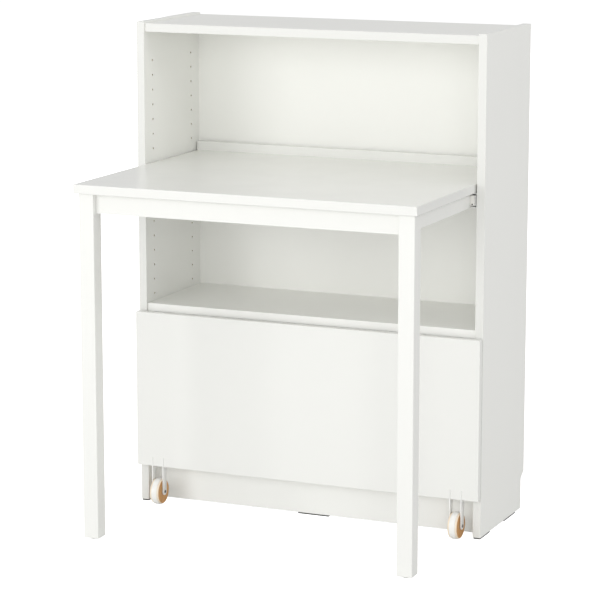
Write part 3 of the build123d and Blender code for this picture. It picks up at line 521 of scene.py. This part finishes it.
# ---------------------------------------------------------------- rolling box
# Foil-faced boards are doweled into a plain box behind the lacquered front. A thin painted floor
# board slides into their grooves.
# Their bands take a darker colour than their faces, as painted shade on the front edges.
for board in ("drawer_side_left", "drawer_side_right", "drawer_back"):
    foil_board(board, band_colour_and_painted_shade=(0.85, 0.852, 0.82, 1), Colour=(0.905, 0.907, 0.87, 1),
               Shade=(0.89, 0.892, 0.852, 1), Cloud_Scale=4.0, Skin_Scale=1400.0, Gloss_Low=0.36,
               Gloss_High=0.5)
box_floor = coated("painted_floor_board", 0.05, Colour=(0.9, 0.9, 0.862, 1), Shade=(0.88, 0.88, 0.838, 1),
                   Skin_Scale=480.0, Gloss_Low=0.42, Gloss_High=0.56)
dress(box_floor, "drawer_bottom")

# ---------------------------------------------------------------- castor forks and axles
# Each fork is bent from 2.5 mm sheet and powder coated white. A turned pin is riveted through
# its cheeks; its heads are coloured dark steel, as painted shade for a hollow at the axle's end.
powder_coat = coated("powder_coat", 0.2, Colour=(0.9, 0.9, 0.875, 1), Shade=(0.88, 0.88, 0.855, 1),
                     Skin_Scale=1800.0, Gloss_Low=0.32, Gloss_High=0.44)
dress(powder_coat, "castor_fork_left", "castor_fork_right")
# Dark steel on the pin heads is painted shade for a hollow end.
axle_painted_shade = metal("axle_steel_painted_shade", Colour=(0.3, 0.29, 0.28, 1), Dull=(0.2, 0.19, 0.18, 1),
                  Draw=(0.05, 1, 1))
dress(axle_painted_shade, "axle_left", "axle_right")
for hand in ("left", "right"):
    soften(f"castor_fork_{hand}", 0.45 * MM, 3)

# ---------------------------------------------------------------- castor wheels
# A wooden wheel is turned on a lathe, stained brown on its faces and left pale round its rim.
# A soft off-white tyre is stretched into the groove of the rim, and a nylon bush lines the hub.


def turned(name, profile, centre, segments=96):
    """A piece turned about an axis along X, from a closed outline of (x, radius) points."""
    mesh = bpy.data.meshes.new(name)
    shape = bmesh.new()
    rings = []
    for step in range(segments):
        angle = math.tau * step / segments
        rings.append([shape.verts.new((x, r * math.sin(angle), r * math.cos(angle))) for x, r in profile])
    count = len(profile)
    for step in range(segments):
        ring, after = rings[step], rings[(step + 1) % segments]
        for i in range(count):
            j = (i + 1) % count
            shape.faces.new((ring[i], ring[j], after[j], after[i]))
    bmesh.ops.recalc_face_normals(shape, faces=shape.faces)
    shape.to_mesh(mesh)
    shape.free()
    mesh.shade_smooth()
    mesh.set_sharp_from_angle(angle=math.radians(35))
    piece = bpy.data.objects.new(name, mesh)
    piece.location = centre
    bpy.context.scene.collection.objects.link(piece)
    return piece


def rounded(points, radius, steps=4):
    """A closed outline with each corner rounded by a short curve of up to the radius."""
    outline = []
    for i, corner in enumerate(points):
        here = Vector(corner)
        back = Vector(points[i - 1]) - here
        ahead = Vector(points[(i + 1) % len(points)]) - here
        reach = min(radius, back.length * 0.45, ahead.length * 0.45)
        start = here + back.normalized() * reach
        end = here + ahead.normalized() * reach
        for step in range(steps + 1):
            t = step / steps
            point = start * (1 - t) ** 2 + here * (2 * t * (1 - t)) + end * t ** 2
            outline.append((point.x, point.y))
    return outline


def both_halves(half):
    """An outline given from the middle outwards and back, with its mirror image along X."""
    return half + [(-x, r) for x, r in reversed(half)]


stained, stained_tree, stained_shader = new_material("stained_wheel")
stained_grain = use_group(stained_tree, grain_group, Light=(0.7, 0.37, 0.13, 1), Dark=(0.46, 0.21, 0.06, 1),
                          Along=(1, 1, 0.1), Figure_Scale=210.0, Pore_Scale=1300.0)
rim_grain = use_group(stained_tree, grain_group, Light=(0.95, 0.84, 0.68, 1), Dark=(0.88, 0.72, 0.54, 1),
                      Along=(1, 1, 0.1), Figure_Scale=160.0, Pore_Scale=1100.0)
stained_place = add_node(stained_tree, "ShaderNodeTexCoord")
stained_flat = add_node(stained_tree, "ShaderNodeVectorMath", operation="MULTIPLY")
stained_flat.inputs[1].default_value = (0, 1, 1)
stained_radius = add_node(stained_tree, "ShaderNodeVectorMath", operation="LENGTH")
stain_end = 26 * MM
stained_edge = add_node(stained_tree, "ShaderNodeMapRange", From_Min=stain_end - 0.3 * MM,
                        From_Max=stain_end + 0.3 * MM)
stained_colour = add_node(stained_tree, "ShaderNodeMix", data_type="RGBA")
stained_bump = add_node(stained_tree, "ShaderNodeBump", Strength=0.2, Distance=0.15 * MM)
wire(stained_tree, stained_place, "Object", stained_flat, 0)
wire(stained_tree, stained_flat, "Vector", stained_radius, 0)
wire(stained_tree, stained_radius, "Value", stained_edge, "Value")
wire(stained_tree, stained_edge, "Result", stained_colour, "Factor")
wire(stained_tree, stained_grain, "Colour", stained_colour, "A")
wire(stained_tree, rim_grain, "Colour", stained_colour, "B")
wire(stained_tree, stained_colour, "Result", stained_shader, "Base Color")
wire(stained_tree, stained_grain, "Roughness", stained_shader, "Roughness")
wire(stained_tree, stained_grain, "Height", stained_bump, "Height")
wire(stained_tree, stained_bump, "Normal", stained_shader, "Normal")
stained_shader.inputs["Coat Weight"].default_value = 0.25
stained_shader.inputs["Coat Roughness"].default_value = 0.3

tyre_rubber = coated("tyre_rubber", 0.12, Colour=(0.95, 0.94, 0.91, 1), Shade=(0.91, 0.9, 0.865, 1),
                     Cloud_Scale=60.0, Skin_Scale=1500.0, Gloss_Low=0.5, Gloss_High=0.68)
nylon = coated("nylon_bush", 0.08, Colour=(0.8, 0.8, 0.76, 1), Shade=(0.74, 0.74, 0.7, 1),
               Skin_Scale=2600.0, Gloss_Low=0.3, Gloss_High=0.45)

tyre_steps = 120
half_width, bore, rim, groove_floor = 10.5 * MM, 4.6 * MM, 27.4 * MM, 25.05 * MM
half_groove, bevel = 6.55 * MM, 1.6 * MM
hub_ring, hub_sink = 8.5 * MM, 0.5 * MM
face_line, line_depth, line_half = 21.5 * MM, 0.35 * MM, 0.5 * MM
wheel_half = [
    (half_width - hub_sink, bore),
    (half_width - hub_sink, hub_ring),
    (half_width, hub_ring + hub_sink),
    (half_width, face_line - line_half),
    (half_width - line_depth, face_line),
    (half_width, face_line + line_half),
    (half_width, rim - bevel),
    (half_width - bevel, rim),
    (half_groove, rim),
    (half_groove, groove_floor),
]
wheel_easing = 0.45 * MM
wheel_outline = rounded(both_halves(wheel_half), wheel_easing)

half_tyre, tyre_seat, tread, shoulder = 6.45 * MM, 25.1 * MM, 29 * MM, 1.2 * MM
tread_groove, groove_depth, groove_half = 3.9 * MM, 0.35 * MM, 0.3 * MM
fall_before_groove, fall_after_groove, fall_at_shoulder = 0.06 * MM, 0.1 * MM, 0.25 * MM
tyre_half = [
    (0, tread),
    (tread_groove - groove_half, tread - fall_before_groove),
    (tread_groove, tread - groove_depth),
    (tread_groove + groove_half, tread - fall_after_groove),
    (half_tyre - shoulder, tread - fall_at_shoulder),
    (half_tyre, tread - shoulder),
    (half_tyre, tyre_seat),
]
tyre_easing = 0.5 * MM
tyre_outline = rounded(both_halves(tyre_half)[:-1], tyre_easing)

for hand in ("left", "right"):
    low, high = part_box(f"wheel_tyre_{hand}")
    axle = (low + high) / 2
    wheel = turned(f"turned_wheel_{hand}", wheel_outline, axle)
    wheel.data.materials.append(stained)
    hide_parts(f"wheel_core_{hand}")
    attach(wheel, f"wheel_{hand}")
    tyre = turned(f"soft_tyre_{hand}", tyre_outline, axle, tyre_steps)
    tyre.data.materials.append(tyre_rubber)
    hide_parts(f"wheel_tyre_{hand}")
    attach(tyre, f"wheel_{hand}")
    dress(nylon, f"wheel_bush_{hand}")

# ---------------------------------------------------------------- floor, light and camera
# The object stands on a plain matt white floor in an even white surround. Four large soft lamps
# light it, three from the front and one from the right. The camera looks down on it a little.
scene = bpy.context.scene
floor_reach = 12
floor_mesh = bpy.data.meshes.new("floor")
floor_corners = [(x * floor_reach, y * floor_reach, 0) for x, y in ((-1, -1), (1, -1), (1, 1), (-1, 1))]
floor_mesh.from_pydata(floor_corners, [], [(0, 1, 2, 3)])
floor = bpy.data.objects.new("floor", floor_mesh)
scene.collection.objects.link(floor)
floor_material, floor_tree, floor_shader = new_material("floor_white")
floor_shader.inputs["Base Color"].default_value = (0.8, 0.8, 0.8, 1)
floor_shader.inputs["Roughness"].default_value = 0.9
floor_shader.inputs["Emission Color"].default_value = (1, 1, 1, 1)
floor_seen = add_node(floor_tree, "ShaderNodeLightPath")
wire(floor_tree, floor_seen, "Is Camera Ray", floor_shader, "Emission Strength")
floor_mesh.materials.append(floor_material)

world = bpy.data.worlds.new("studio")
world.use_nodes = True
scene.world = world
surround = world.node_tree.nodes["Background"]
surround.inputs["Color"].default_value = (1, 1, 1, 1)
surround_seen = add_node(world.node_tree, "ShaderNodeLightPath")
surround_strength = add_node(world.node_tree, "ShaderNodeMapRange", To_Min=0.69, To_Max=1.05)
wire(world.node_tree, surround_seen, "Is Camera Ray", surround_strength, "Value")
wire(world.node_tree, surround_strength, "Result", surround, "Strength")

light_aim = Vector((0, 0, 0.55))
for name, place, size, power in (
    ("right_front_light", (2.6, -5.6, 1.8), 2.5, 54),
    ("left_front_light", (-2.8, -4.6, 1.6), 2.5, 59),
    ("low_front_light", (0, -5.5, 0.9), 2.5, 35),
    ("side_light", (4.2, -1.2, 3.2), 1.6, 23),
):
    lamp = bpy.data.lights.new(name, "AREA")
    lamp.shape = "SQUARE"
    lamp.size = size
    lamp.energy = power
    holder = bpy.data.objects.new(name, lamp)
    holder.location = place
    holder.rotation_euler = (light_aim - Vector(place)).to_track_quat("-Z", "Y").to_euler()
    scene.collection.objects.link(holder)

camera_tilt, camera_turn = 10.864, 23.494
camera_data = bpy.data.cameras.new("camera")
camera_data.sensor_width = 36
camera_data.lens = 154.95
camera = bpy.data.objects.new("camera", camera_data)
camera.location = (2.1359, -4.9211, 1.5165)
camera.rotation_euler = (math.radians(90 - camera_tilt), 0, math.radians(camera_turn))
scene.collection.objects.link(camera)
scene.camera = camera
scene.view_settings.view_transform = "Standard"
